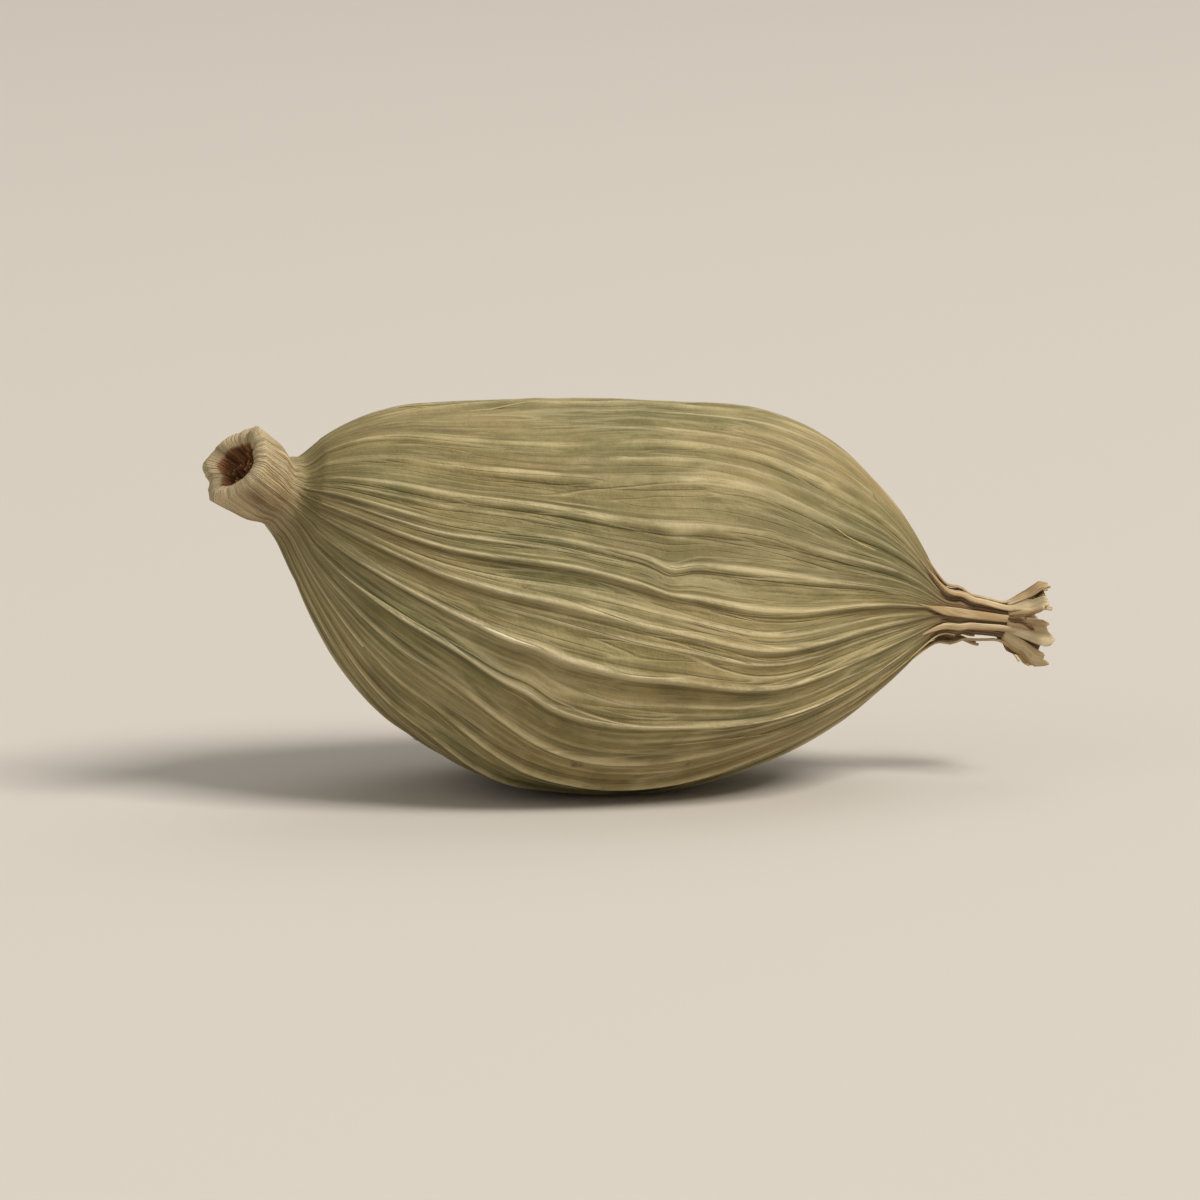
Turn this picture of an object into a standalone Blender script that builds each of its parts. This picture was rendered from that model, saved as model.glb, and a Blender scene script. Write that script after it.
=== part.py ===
"""Green cardamom pod, lying on its side: one dried seed capsule, three-sided and ribbed from end to end,
with the cup of its broken stalk at one end and the withered collar of its flower at the other.
It is a single fruit that grew as one piece, so it is one solid."""

import math
import random

import bmesh
import bpy
from mathutils import Matrix, Vector

# Husk, the swollen seed capsule. Lengths are in metres and run along the pod's own axis.
HUSK_LENGTH = 0.0113
HUSK_WIDTH = 0.0064
BLUNT_POWER, BLUNT_ROUNDING = 2.0, 0.58
TAPER_POWER, TAPER_ROUNDING = 2.5, 0.93
TAPER_EASE = 0.7

# The three corners of its section stand out, and a shallow furrow runs along the middle of each side.
CORNER_SWELL = 0.055
FURROW_DEPTH = 0.00018
FURROW_WIDTH = 0.0011
FURROW_START = 0.0

# The husk's belly hangs below the line from end to end, and both ends turn aside. The stalk bends up and
# aside from it. Places and reaches are shares of the husk's half length from its middle, and the sweep and
# the bends are per squared share.
BELLY_DROP, BELLY_PLACE, BELLY_REACH = 0.00104, -0.23, 1.04
SIDE_SWEEP = 0.00035
END_RISE, RISE_FROM, RISE_LENGTH = 0.00038, 0.55, 0.55
STALK_BEND_FROM = 0.92
STALK_UP, STALK_ASIDE = 0.0045, 0.0066

# Ribs run from end to end, unevenly strong and unevenly spaced.
RIB_COUNT = 30
RIB_HEIGHT = 0.00012
RIB_WEAKEST, RIB_STRONGEST = 0.5, 1.3
RIB_SHARPNESS = 1.2
RIB_BREATHING, RIB_BREATHS = 0.4, 5.0
RIB_FULL_FROM = 0.6
SEED = 57

# They drift sideways on their way, in waves of (waves round the pod, turn along it, start, size in radians).
# The drift dies out towards this share of the husk's half length from its middle.
RIB_TWIST = 0.16
RIB_WAVES = ((2, 4.2, 0.0, 0.045), (5, -6.5, 1.0, 0.025))
RIB_SPACING = ((3, 0.6, 0.03), (7, 2.0, 0.018))
DRIFT_ENDS = 1.25

# Seeds push the dried husk out from inside, in two rows to each of its three chambers.
CHAMBERS = 3
SEEDS_IN_ROW = 5
SEED_ROW_ANGLE = math.radians(19)
SEED_ROW_START, SEED_ROW_LENGTH, SEED_SHIFT = -0.78, 1.5, 0.2
SEED_SWELL = 0.00005
SEED_LEAST, SEED_MOST = 0.3, 1.3
SEED_WIDTH = 0.0013

# Cup of the broken stalk, at the blunt end: (share of its length, radius) from the husk to the rim, and the
# tears in its rim as (angle in degrees, depth).
STALK_LENGTH = 0.00095
STALK_PROFILE = ((0.0, 0.00064), (0.15, 0.00057), (0.50, 0.00066), (1.0, 0.00066))
STALK_HOLLOW = 0.00037
STALK_HOLLOW_DEPTH = 0.00028
STALK_SIDES, STALK_SQUARENESS, STALK_TURN = 4, 0.11, 0.5
STALK_TEARS = ((70, 0.00007), (310, 0.00009))

# Withered flower tube and its torn collar, at the pointed end, given the same way.
BEAK_LENGTH = 0.00135
BEAK_PROFILE = ((0.0, 0.00042), (0.2, 0.00030), (0.55, 0.00028), (0.85, 0.00042), (1.0, 0.00057))
BEAK_HOLLOW = 0.00043
BEAK_HOLLOW_DEPTH = 0.00045
BEAK_LOBES, BEAK_LOBE_SIZE, BEAK_TURN = 3, 0.12, 1.0
BEAK_TEARS = ((43, 0.00025), (163, 0.00034), (283, 0.00030))

# Both stubs take their own section within a share of the husk's half length, and end in a hollow, given as
# (share of its depth, share of its mouth's radius) from its floor.
STUB_EASE = 0.33
HOLLOW_PROFILE = ((1.0, 0.55), (0.8, 0.85), (0.1, 1.0))
RIM_ROUNDING = 0.00005
TEAR_WIDTH = math.radians(26)
TEAR_FROM = 0.5
STUB_RIBS = 0.15
RIM_RIBS = 0.1

# How the pod lies: the pointed end hangs lower, on a small flat spot, where ribs and furrow fade.
REST_TILT = math.radians(11)
SPOT_ALONG = -0.00030
SPOT_BELOW = 0.00386
SPOT_FADE_ANGLE = math.radians(34)
SPOT_FADE_LENGTH = 0.0030
SPOT_BARE = 0.375

# Mesh: columns follow the ribs, and rings run round the pod.
COLUMNS_PER_RIB = 3
HUSK_RINGS = 42
STALK_RINGS = 5
BEAK_RINGS = 6
END_BLEND = 4.0
SHARP_EDGE = math.radians(50)

HALF = HUSK_LENGTH / 2
COLUMNS = RIB_COUNT * COLUMNS_PER_RIB
TOP_ANGLE = math.radians(90)
FULL_TURN = 2 * math.pi

def smooth(share):
    """Eases from 0 to 1 as share goes from 0 to 1."""
    share = min(1.0, max(0.0, share))
    return share * share * (3 - 2 * share)

def bump(distance, width):
    """A rounded hump, 1 in its middle and nearly 0 at a width from it."""
    return math.exp(-2 * (distance / width) ** 2)

def husk_radius(along):
    """Radius of the capsule without its ribs: blunt by the stalk, tapered by the beak."""
    share = along / HALF
    inward = min(1.0, abs(share))
    blunt = (1 - inward**BLUNT_POWER) ** BLUNT_ROUNDING
    taper = (1 - inward**TAPER_POWER) ** TAPER_ROUNDING
    return HUSK_WIDTH / 2 * (blunt + (taper - blunt) * smooth(0.5 + share / TAPER_EASE))

def stub_radius(profile, share):
    """Radius of a stub at a share of its length, eased from each point of its profile to the next."""
    radius = profile[0][1]
    for (near, near_radius), (far, far_radius) in zip(profile, profile[1:]):
        radius += (far_radius - near_radius) * smooth((share - near) / (far - near))
    return radius

def outer_radius(along):
    """Radius of the whole pod, with each stub running smoothly into the husk."""
    if along < 0:
        stub = stub_radius(STALK_PROFILE, (-HALF - along) / STALK_LENGTH)
    else:
        stub = stub_radius(BEAK_PROFILE, (along - HALF) / BEAK_LENGTH)
    return (husk_radius(along) ** END_BLEND + stub**END_BLEND) ** (1 / END_BLEND)

def centre_line(along):
    """Sideways place and height of the section's centre."""
    share = along / HALF
    bend = max(0.0, -share - STALK_BEND_FROM) ** 2
    aside = -SIDE_SWEEP * share**2 - STALK_ASIDE * bend
    rise = END_RISE * smooth((-share - RISE_FROM) / RISE_LENGTH)
    return aside, rise + STALK_UP * bend - BELLY_DROP * bump(share - BELLY_PLACE, BELLY_REACH)

def section_turn(along):
    """Angles by which the stalk's sections turn aside and lean, square to its bend."""
    slope = -2 * max(0.0, -along / HALF - STALK_BEND_FROM) / HALF
    return math.atan(-STALK_ASIDE * slope), math.atan(STALK_UP * slope)

class Ribs:
    """The ribs' strengths and the seeds' places, drawn once."""

    def __init__(self):
        draw = random.Random(SEED)
        self.strength = [draw.uniform(RIB_WEAKEST, RIB_STRONGEST) for _ in range(RIB_COUNT)]
        self.phase = [draw.uniform(0, FULL_TURN) for _ in range(RIB_COUNT)]
        self.seeds = []
        for chamber in range(CHAMBERS):
            corner = TOP_ANGLE + chamber * FULL_TURN / CHAMBERS
            for side in (-1, 1):
                for place in range(SEEDS_IN_ROW):
                    shifted = (place + 0.5 + draw.uniform(-SEED_SHIFT, SEED_SHIFT)) / SEEDS_IN_ROW
                    along = (SEED_ROW_START + SEED_ROW_LENGTH * shifted) * HALF
                    swell = SEED_SWELL * draw.uniform(SEED_LEAST, SEED_MOST)
                    self.seeds.append((corner + side * SEED_ROW_ANGLE, along, swell))

    def angle(self, rib, along):
        """Angle round the pod of a place counted in ribs. Crests are the whole numbers."""
        turn = FULL_TURN * rib / RIB_COUNT
        share = along / HALF
        spacing = sum(size * math.sin(around * turn + start) for around, start, size in RIB_SPACING)
        drift = RIB_TWIST * share
        for around, length, start, size in RIB_WAVES:
            drift += size * math.sin(around * turn + length * share + start)
        return turn + spacing + drift * smooth(DRIFT_ENDS - abs(share))

    def relief(self, rib, along, radius):
        """Height of the rib at this place above the valleys."""
        index = round(rib) % RIB_COUNT
        crest = (1 - abs(math.sin(math.pi * (rib - round(rib))))) ** RIB_SHARPNESS
        breathing = 1 + RIB_BREATHING * math.sin(RIB_BREATHS * along / HALF + self.phase[index])
        width = min(1.0, radius / (RIB_FULL_FROM * HUSK_WIDTH / 2))
        return RIB_HEIGHT * self.strength[index] * breathing * crest * width

    def swelling(self, angle, along, radius):
        """How far the seeds inside push the husk out here."""
        total = 0.0
        for seed_angle, seed_along, swell in self.seeds:
            around = radius * math.remainder(angle - seed_angle, FULL_TURN)
            total += swell * bump(math.hypot(around, along - seed_along), SEED_WIDTH)
        return total

def furrow(angle, along, radius):
    """Depth of the furrow along the middle of each side, which deepens from the stalk to the beak."""
    side = FULL_TURN / CHAMBERS
    around = radius * math.remainder(angle - TOP_ANGLE - side / 2, side)
    return FURROW_DEPTH * bump(around, FURROW_WIDTH) * smooth(FURROW_START + (1 + along / HALF) / 2)

def spot_fade(angle, along):
    """Ribs and furrow are worn down to nothing over the side that the pod lies on."""
    around = math.remainder(angle + TOP_ANGLE, FULL_TURN) / SPOT_FADE_ANGLE
    lengthways = (along - SPOT_ALONG) / SPOT_FADE_LENGTH
    return smooth((math.hypot(around, lengthways) - SPOT_BARE) / (1 - SPOT_BARE))

def torn_back(angle, along):
    """Step along the pod by which the tears in a stub's rim draw this point back towards the husk."""
    length, tears = (STALK_LENGTH, STALK_TEARS) if along < 0 else (BEAK_LENGTH, BEAK_TEARS)
    near_rim = smooth(((abs(along) - HALF) / length - TEAR_FROM) / (1 - TEAR_FROM))
    depth = 0.0
    for place, deep in tears:
        depth += deep * bump(math.remainder(angle - math.radians(place), FULL_TURN), TEAR_WIDTH)
    return -math.copysign(depth * near_rim, along)

def skin_point(ribs, along, radius, rib, wall):
    """A point of the pod's skin. wall is 1 on the husk, less on the stubs and 0 inside their hollows."""
    share = along / HALF
    angle = ribs.angle(rib, along)
    body = max(0.0, 1 - share**2) ** 0.5
    beyond = smooth((abs(share) - 1) / STUB_EASE)
    corners = 1 + CORNER_SWELL * math.cos(CHAMBERS * (angle - TOP_ANGLE)) * body
    if share < 0:
        corners += STALK_SQUARENESS * math.cos(STALK_SIDES * angle + STALK_TURN) * beyond
    else:
        corners += BEAK_LOBE_SIZE * math.cos(BEAK_LOBES * angle + BEAK_TURN) * beyond
    carved = ribs.relief(rib, along, radius) * wall - furrow(angle, along, radius) * body
    pushed_out = ribs.swelling(angle, along, radius) * body
    reach = radius * corners + carved * spot_fade(angle, along) + pushed_out
    across, up = reach * math.cos(angle), reach * math.sin(angle)
    aside, height = centre_line(along)
    turn, lean = section_turn(along)
    place = along + torn_back(angle, along) - across * math.sin(turn) - up * math.sin(lean)
    return Vector((place, aside + across * math.cos(turn), height + up * math.cos(lean)))

def hollow_stations(end, depth, mouth, outward):
    """(place along the axis, radius, wall) of each ring in a hollow, from its floor to its mouth."""
    for share, wide in HOLLOW_PROFILE:
        yield end - outward * depth * share, mouth * wide, 0.0

def stations():
    """(place along the axis, radius, wall) of each ring, from one hollow's floor to the other's."""
    start, end = -HALF - STALK_LENGTH, HALF + BEAK_LENGTH
    stalk_rim, beak_rim = STALK_PROFILE[-1][1], BEAK_PROFILE[-1][1]
    yield from hollow_stations(start, STALK_HOLLOW_DEPTH, STALK_HOLLOW, -1)
    yield start - RIM_ROUNDING, (stalk_rim + STALK_HOLLOW) / 2, RIM_RIBS
    for ring in range(STALK_RINGS):
        along = start + STALK_LENGTH * ring / STALK_RINGS
        yield along, outer_radius(along), STUB_RIBS
    for ring in range(HUSK_RINGS + 1):
        along = -HALF * math.cos(math.pi * ring / HUSK_RINGS)
        yield along, outer_radius(along), 1.0
    for ring in range(1, BEAK_RINGS + 1):
        along = HALF + BEAK_LENGTH * ring / BEAK_RINGS
        yield along, outer_radius(along), STUB_RIBS
    yield end + RIM_ROUNDING, (beak_rim + BEAK_HOLLOW) / 2, RIM_RIBS
    yield from reversed(list(hollow_stations(end, BEAK_HOLLOW_DEPTH, BEAK_HOLLOW, 1)))

def skin_mesh():
    """The pod's closed skin in its own frame: rings joined by quads, and a fan in each hollow's floor."""
    ribs = Ribs()
    skin = bmesh.new()
    places = [column / COLUMNS_PER_RIB for column in range(COLUMNS)]
    rings = [
        [skin.verts.new(skin_point(ribs, along, radius, place, wall)) for place in places]
        for along, radius, wall in stations()
    ]
    for near, far in zip(rings, rings[1:]):
        for c in range(COLUMNS):
            after = (c + 1) % COLUMNS
            skin.faces.new((near[c], near[after], far[after], far[c]))
    for ring in (rings[0], rings[-1]):
        middle = skin.verts.new(sum((vert.co for vert in ring), Vector()) / COLUMNS)
        for c in range(COLUMNS):
            skin.faces.new((ring[c], ring[(c + 1) % COLUMNS], middle))
    bmesh.ops.recalc_face_normals(skin, faces=skin.faces)
    return skin

def lay_down(skin):
    """Tips the pod on to its resting side, with the spot's middle at the origin, and cuts it flat."""
    skin.transform(Matrix.Translation((-SPOT_ALONG, 0, 0)))
    skin.transform(Matrix.Rotation(REST_TILT, 4, "Y"))
    skin.transform(Matrix.Translation((0, 0, SPOT_BELOW)))
    everything = skin.verts[:] + skin.edges[:] + skin.faces[:]
    bmesh.ops.bisect_plane(
        skin, geom=everything, dist=1e-7, plane_co=(0, 0, 0), plane_no=(0, 0, -1), clear_outer=True
    )
    open_edges = [edge for edge in skin.edges if edge.is_boundary]
    bmesh.ops.holes_fill(skin, edges=open_edges, sides=0)
    bmesh.ops.recalc_face_normals(skin, faces=skin.faces)

def husk_material():
    """Dry olive green skin with a low sheen."""
    material = bpy.data.materials.new("pod_husk")
    material.use_nodes = True
    shader = material.node_tree.nodes["Principled BSDF"]
    shader.inputs["Base Color"].default_value = (0.26, 0.22, 0.09, 1)
    shader.inputs["Roughness"].default_value = 0.6
    shader.inputs["Metallic"].default_value = 0.0
    return material

def cardamom_pod():
    """The whole pod, shaded smooth, as one object."""
    skin = skin_mesh()
    lay_down(skin)
    mesh = bpy.data.meshes.new("cardamom_pod")
    skin.to_mesh(mesh)
    skin.free()
    mesh.materials.append(husk_material())
    mesh.shade_smooth()
    mesh.set_sharp_from_angle(angle=SHARP_EDGE)
    pod = bpy.data.objects.new("cardamom_pod", mesh)
    bpy.context.scene.collection.objects.link(pod)
    return pod

for leftover in list(bpy.data.objects):
    bpy.data.objects.remove(leftover)
cardamom_pod()
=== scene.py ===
"""Green cardamom pod lying on a table: the dressed part, with the table, light and camera that show it."""

import math
import random

import bpy
import numpy as np
from mathutils import Matrix, Vector, noise


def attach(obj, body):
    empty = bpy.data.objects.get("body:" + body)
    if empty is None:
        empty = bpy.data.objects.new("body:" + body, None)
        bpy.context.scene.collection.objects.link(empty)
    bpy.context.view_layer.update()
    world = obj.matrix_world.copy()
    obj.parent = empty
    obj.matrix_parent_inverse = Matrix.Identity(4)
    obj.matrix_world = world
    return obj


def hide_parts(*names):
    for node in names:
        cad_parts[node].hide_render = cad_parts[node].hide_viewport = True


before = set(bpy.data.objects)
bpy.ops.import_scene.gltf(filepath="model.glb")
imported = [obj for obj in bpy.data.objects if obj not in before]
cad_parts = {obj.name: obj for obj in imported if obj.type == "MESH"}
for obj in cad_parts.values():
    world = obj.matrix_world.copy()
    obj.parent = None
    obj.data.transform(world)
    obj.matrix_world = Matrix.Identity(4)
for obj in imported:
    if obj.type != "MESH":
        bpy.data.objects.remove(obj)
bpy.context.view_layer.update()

# Skin of the pod.
# One dried leathery capsule that shrank on to its seeds. Its ribs are the veins that run from the stalk to
# the flower, and both stubs are drawn out of the same skin. Sizes are in metres.

HUSK_LENGTH = 0.0113
HUSK_WIDTH = 0.0064
BLUNT_POWER, BLUNT_ROUNDING = 2.0, 0.58
TAPER_POWER, TAPER_ROUNDING = 2.5, 0.93
TAPER_EASE = 0.7
CORNER_SWELL = 0.055
FURROW_DEPTH, FURROW_WIDTH, FURROW_START = 0.00018, 0.0011, 0.0
BELLY_DROP, BELLY_PLACE, BELLY_REACH = 0.00104, -0.23, 1.04
SIDE_SWEEP = 0.00035
END_RISE, RISE_FROM, RISE_LENGTH = 0.00038, 0.55, 0.55
STALK_BEND_FROM = 0.92
STALK_UP, STALK_ASIDE = 0.0045, 0.0066

RIB_COUNT = 30
RIB_HEIGHT = 0.00012
RIB_WEAKEST, RIB_STRONGEST = 0.5, 1.3
RIB_SHARPNESS = 1.2
RIB_BREATHING, RIB_BREATHS = 0.4, 5.0
RIB_FULL_FROM = 0.6
RIB_TWIST = 0.16
RIB_WAVES = ((2, 4.2, 0.0, 0.045), (5, -6.5, 1.0, 0.025))
RIB_SPACING = ((3, 0.6, 0.03), (7, 2.0, 0.018))
DRIFT_ENDS = 1.25
SEED = 57

CHAMBERS = 3
SEEDS_IN_ROW = 5
SEED_ROW_ANGLE = math.radians(19)
SEED_ROW_START, SEED_ROW_LENGTH, SEED_SHIFT = -0.78, 1.5, 0.2
SEED_SWELL = 0.00005
SEED_LEAST, SEED_MOST = 0.3, 1.3
SEED_WIDTH = 0.0013

STALK_LENGTH = 0.00095
STALK_PROFILE = ((0.0, 0.00064), (0.15, 0.00057), (0.50, 0.00066), (1.0, 0.00066))
STALK_HOLLOW, STALK_HOLLOW_DEPTH = 0.00037, 0.00028
STALK_SIDES, STALK_SQUARENESS, STALK_TURN = 4, 0.11, 0.5
STALK_TEARS = ((70, 0.00007), (310, 0.00009))
BEAK_LENGTH = 0.00135
BEAK_PROFILE = ((0.0, 0.00042), (0.2, 0.00030), (0.55, 0.00028), (0.85, 0.00042), (1.0, 0.00057))
BEAK_HOLLOW, BEAK_HOLLOW_DEPTH = 0.00043, 0.00045
BEAK_LOBES, BEAK_LOBE_SIZE, BEAK_TURN = 3, 0.12, 1.0
BEAK_TEARS = ((43, 0.00025), (163, 0.00034), (283, 0.00030))
HOLLOW_PROFILE = ((1.0, 0.05), (1.0, 0.55), (0.8, 0.85), (0.1, 1.0))
RIM_ROUNDING = 0.00005
TEAR_WIDTH, TEAR_FROM = math.radians(26), 0.5
STUB_RIBS, RIM_RIBS = 0.15, 0.1
STUB_EASE = 0.33
END_BLEND = 4.0

REST_TILT = math.radians(11)
SPOT_ALONG, SPOT_BELOW = -0.00030, 0.00386
SPOT_FADE_ANGLE, SPOT_FADE_LENGTH, SPOT_BARE = math.radians(34), 0.0030, 0.375

COLUMNS_PER_RIB = 16
RINGS, STUB_CLOSER = 205, 1.8
STUB_SAMPLES, HUSK_SAMPLES = 60, 400
HALF = HUSK_LENGTH / 2
COLUMNS = RIB_COUNT * COLUMNS_PER_RIB
TOP_ANGLE = math.radians(90)
FULL_TURN = 2 * math.pi
MM = 0.001


def smooth(share):
    """Eases from 0 to 1 as share goes from 0 to 1."""
    share = np.clip(share, 0, 1)
    return share * share * (3 - 2 * share)


def bump(distance, width):
    """A rounded hump, 1 in its middle and nearly 0 at a width from it."""
    return np.exp(-2 * (distance / width) ** 2)


def turned(angle, period=FULL_TURN):
    """An angle brought to within half a period of nought."""
    return angle - period * np.round(angle / period)


def husk_radius(along):
    """Radius of the capsule without its ribs: blunt by the stalk, tapered by the beak."""
    share = along / HALF
    inward = np.minimum(1, np.abs(share))
    blunt = (1 - inward**BLUNT_POWER) ** BLUNT_ROUNDING
    taper = (1 - inward**TAPER_POWER) ** TAPER_ROUNDING
    return HUSK_WIDTH / 2 * (blunt + (taper - blunt) * smooth(0.5 + share / TAPER_EASE))


def stub_radius(profile, share):
    """Radius of a stub at a share of its length, eased from each point of its profile to the next."""
    radius = profile[0][1]
    for (near, near_radius), (far, far_radius) in zip(profile, profile[1:]):
        radius = radius + (far_radius - near_radius) * smooth((share - near) / (far - near))
    return radius


def outer_radius(along):
    """Radius of the whole pod, with each stub running smoothly into the husk."""
    stalk = stub_radius(STALK_PROFILE, (-HALF - along) / STALK_LENGTH)
    beak = stub_radius(BEAK_PROFILE, (along - HALF) / BEAK_LENGTH)
    stub = np.where(along < 0, stalk, beak)
    return (husk_radius(along) ** END_BLEND + stub**END_BLEND) ** (1 / END_BLEND)


def centre_line(along):
    """Sideways place and height of the section's centre."""
    share = along / HALF
    bend = np.maximum(0, -share - STALK_BEND_FROM) ** 2
    aside = -SIDE_SWEEP * share**2 - STALK_ASIDE * bend
    rise = END_RISE * smooth((-share - RISE_FROM) / RISE_LENGTH)
    return aside, rise + STALK_UP * bend - BELLY_DROP * bump(share - BELLY_PLACE, BELLY_REACH)


def section_turn(along):
    """Angles by which the stalk's sections turn aside and lean, square to its bend."""
    slope = -2 * np.maximum(0, -along / HALF - STALK_BEND_FROM) / HALF
    return np.arctan(-STALK_ASIDE * slope), np.arctan(STALK_UP * slope)


def near_rim(along):
    """Grows from 0 to 1 from the middle of each stub to its rim."""
    share = (np.abs(along) - HALF) / np.where(along < 0, STALK_LENGTH, BEAK_LENGTH)
    return smooth((share - TEAR_FROM) / (1 - TEAR_FROM))


def torn_back(angle, along):
    """How far the tears in a stub's rim draw this point back towards the husk, as a step along the pod."""
    depths = [
        sum(deep * bump(turned(angle - math.radians(place)), TEAR_WIDTH) for place, deep in tears)
        for tears in (STALK_TEARS, BEAK_TEARS)
    ]
    return -np.copysign(np.where(along < 0, *depths) * near_rim(along), along)


def ring_stations():
    """Place along the axis, radius and share of the ribs of each ring, from one hollow's floor to the other."""
    start, end = -HALF - STALK_LENGTH, HALF + BEAK_LENGTH
    stalk_rim, beak_rim = STALK_PROFILE[-1][1], BEAK_PROFILE[-1][1]
    coarse = []
    for depth, wide in HOLLOW_PROFILE:
        coarse.append((start + STALK_HOLLOW_DEPTH * depth, STALK_HOLLOW * wide, 0.0))
    coarse.append((start - RIM_ROUNDING, (stalk_rim + STALK_HOLLOW) / 2, RIM_RIBS))
    for along in np.linspace(start, -HALF, STUB_SAMPLES, endpoint=False):
        coarse.append((along, float(outer_radius(along)), STUB_RIBS))
    for turn in np.linspace(0, math.pi, HUSK_SAMPLES):
        along = -HALF * math.cos(turn)
        coarse.append((along, float(outer_radius(along)), 1.0))
    for along in np.linspace(HALF, end, STUB_SAMPLES + 1)[1:]:
        coarse.append((along, float(outer_radius(along)), STUB_RIBS))
    coarse.append((end + RIM_ROUNDING, (beak_rim + BEAK_HOLLOW) / 2, RIM_RIBS))
    for depth, wide in reversed(HOLLOW_PROFILE):
        coarse.append((end - BEAK_HOLLOW_DEPTH * depth, BEAK_HOLLOW * wide, 0.0))
    coarse = np.array(coarse)
    closer = np.where(np.abs(coarse[1:, 0]) > HALF, STUB_CLOSER, 1)
    travelled = np.cumsum(np.hypot(*np.diff(coarse[:, :2], axis=0).T) * closer)
    travelled = np.concatenate([[0], travelled])
    even = np.linspace(0, travelled[-1], RINGS)
    rings = np.stack([np.interp(even, travelled, column) for column in coarse.T], 1)
    return rings[:, 0:1], rings[:, 1:2], rings[:, 2:3]


def waver(unrolled, around, lengthways, start):
    """Smooth noise from -1 to 1 on the unrolled skin, in waves per millimetre round the pod and along it."""
    scale = np.array([around, around, lengthways]) / MM
    places = (unrolled * scale + start).reshape(-1, 3)
    return np.array([noise.noise(place) for place in places.tolist()]).reshape(unrolled.shape[:-1])


draw = random.Random(SEED)
rib_strength = np.array([draw.uniform(RIB_WEAKEST, RIB_STRONGEST) for _ in range(RIB_COUNT)])
rib_phase = np.array([draw.uniform(0, FULL_TURN) for _ in range(RIB_COUNT)])
seeds = []
for chamber in range(CHAMBERS):
    for side in (-1, 1):
        for place in range(SEEDS_IN_ROW):
            shifted = (place + 0.5 + draw.uniform(-SEED_SHIFT, SEED_SHIFT)) / SEEDS_IN_ROW
            seeds.append((
                TOP_ANGLE + chamber * FULL_TURN / CHAMBERS + side * SEED_ROW_ANGLE,
                (SEED_ROW_START + SEED_ROW_LENGTH * shifted) * HALF,
                SEED_SWELL * draw.uniform(SEED_LEAST, SEED_MOST),
            ))

MINOR_RIB_COLUMNS = (6, 7, 8, 9, 10)
minor_place = np.array([draw.choice(MINOR_RIB_COLUMNS) / COLUMNS_PER_RIB for _ in range(RIB_COUNT)])

# Fine form of the dried skin. Each WAVES holds waves per millimetre round the pod and along it, and a start.
# Each kink holds its share along the pod, its degrees round it, and its push in shares of a rib's spacing.
CREST_WAVER, CREST_WAVES = 0.18, (0.35, 0.50, 3.1)
CREST_BREAK, CREST_BREAK_WAVES = 0.8, (0.55, 0.6, 5.3)
RIB_HIGHEST = 1.45
KINKS = ((0.05, 158, 0.20), (-0.30, 200, -0.10), (0.10, 20, 0.15), (-0.20, 320, -0.12))
KINK_LENGTH, KINK_WIDTH = 0.00040, 0.0007
CREST_LINE_HEIGHT, CREST_LINE_WIDTH = 0.00003, 0.13
MINOR_RIB_HEIGHT, MINOR_RIB_WIDTH, MINOR_RIB_WAVES = 0.00005, 0.17, (0.6, 0.16, 23.3)
MINOR_RIB_SUDDEN, MINOR_RIB_OFTEN = 1.8, 0.25
STREAK_HEIGHT, STREAK_WAVES = 0.000012, (4.0, 0.3, 11.3)
WRINKLE_HEIGHT, WRINKLE_WAVES, WRINKLE_ON_RIB = 0.000014, (0.9, 2.2, 19.9), 0.35
DENT_DEPTH, DENT_WAVES = 0.00004, (0.3, 0.24, 27.1)
STUB_FIBRE_HEIGHT, STUB_FIBRE_WAVES = 0.00003, (1.4, 0.5, 35.5)
STUB_LUMP_HEIGHT, STUB_LUMP_WAVES = 0.00004, (0.35, 0.9, 31.9)
RAGGED_DEPTH, RAGGED_WAVES, RAGGED_MOSTLY_BACK = 0.00006, (1.1, 0.0, 41.7), 0.3
BRIGHT_ALONG, BRIGHT_ROUND, BRIGHT_MORE = -0.40, math.radians(190), 1.2
BRIGHT_LENGTH, BRIGHT_WIDTH = 0.0022, 0.0010
CALM_ANGLE, CALM_WIDTH, CALM_SHARE = math.radians(98), math.radians(60), 0.55
FINE_FULL_FROM = 0.0018
NOMINAL_RADIUS = 0.0031
GRAIN_START = (13.7, 21.3, 57.1)

# Where the masks of the finish start, and the length over which each grows.
RIB_FULLEST = 1.6
STALK_COLOUR_FROM, STALK_COLOUR_OVER = 0.96, 0.10
BEAK_COLOUR_FROM, BEAK_COLOUR_OVER = 0.86, 0.17
END_COLOUR_FROM, END_COLOUR_OVER = 0.72, 0.28
RIM_PALE, PITH_EDGE = 0.00022, 9


def section_points(along, place, reach, angle):
    """Points at a reach and an angle round the centre line at along, in sections drawn to place."""
    across, up = reach * np.cos(angle), reach * np.sin(angle)
    (aside, height), (turn_aside, lean) = centre_line(along), section_turn(along)
    return np.stack(
        [
            place - across * np.sin(turn_aside) - up * np.sin(lean),
            aside + across * np.cos(turn_aside),
            height + up * np.cos(lean),
        ],
        -1,
    )


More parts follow.
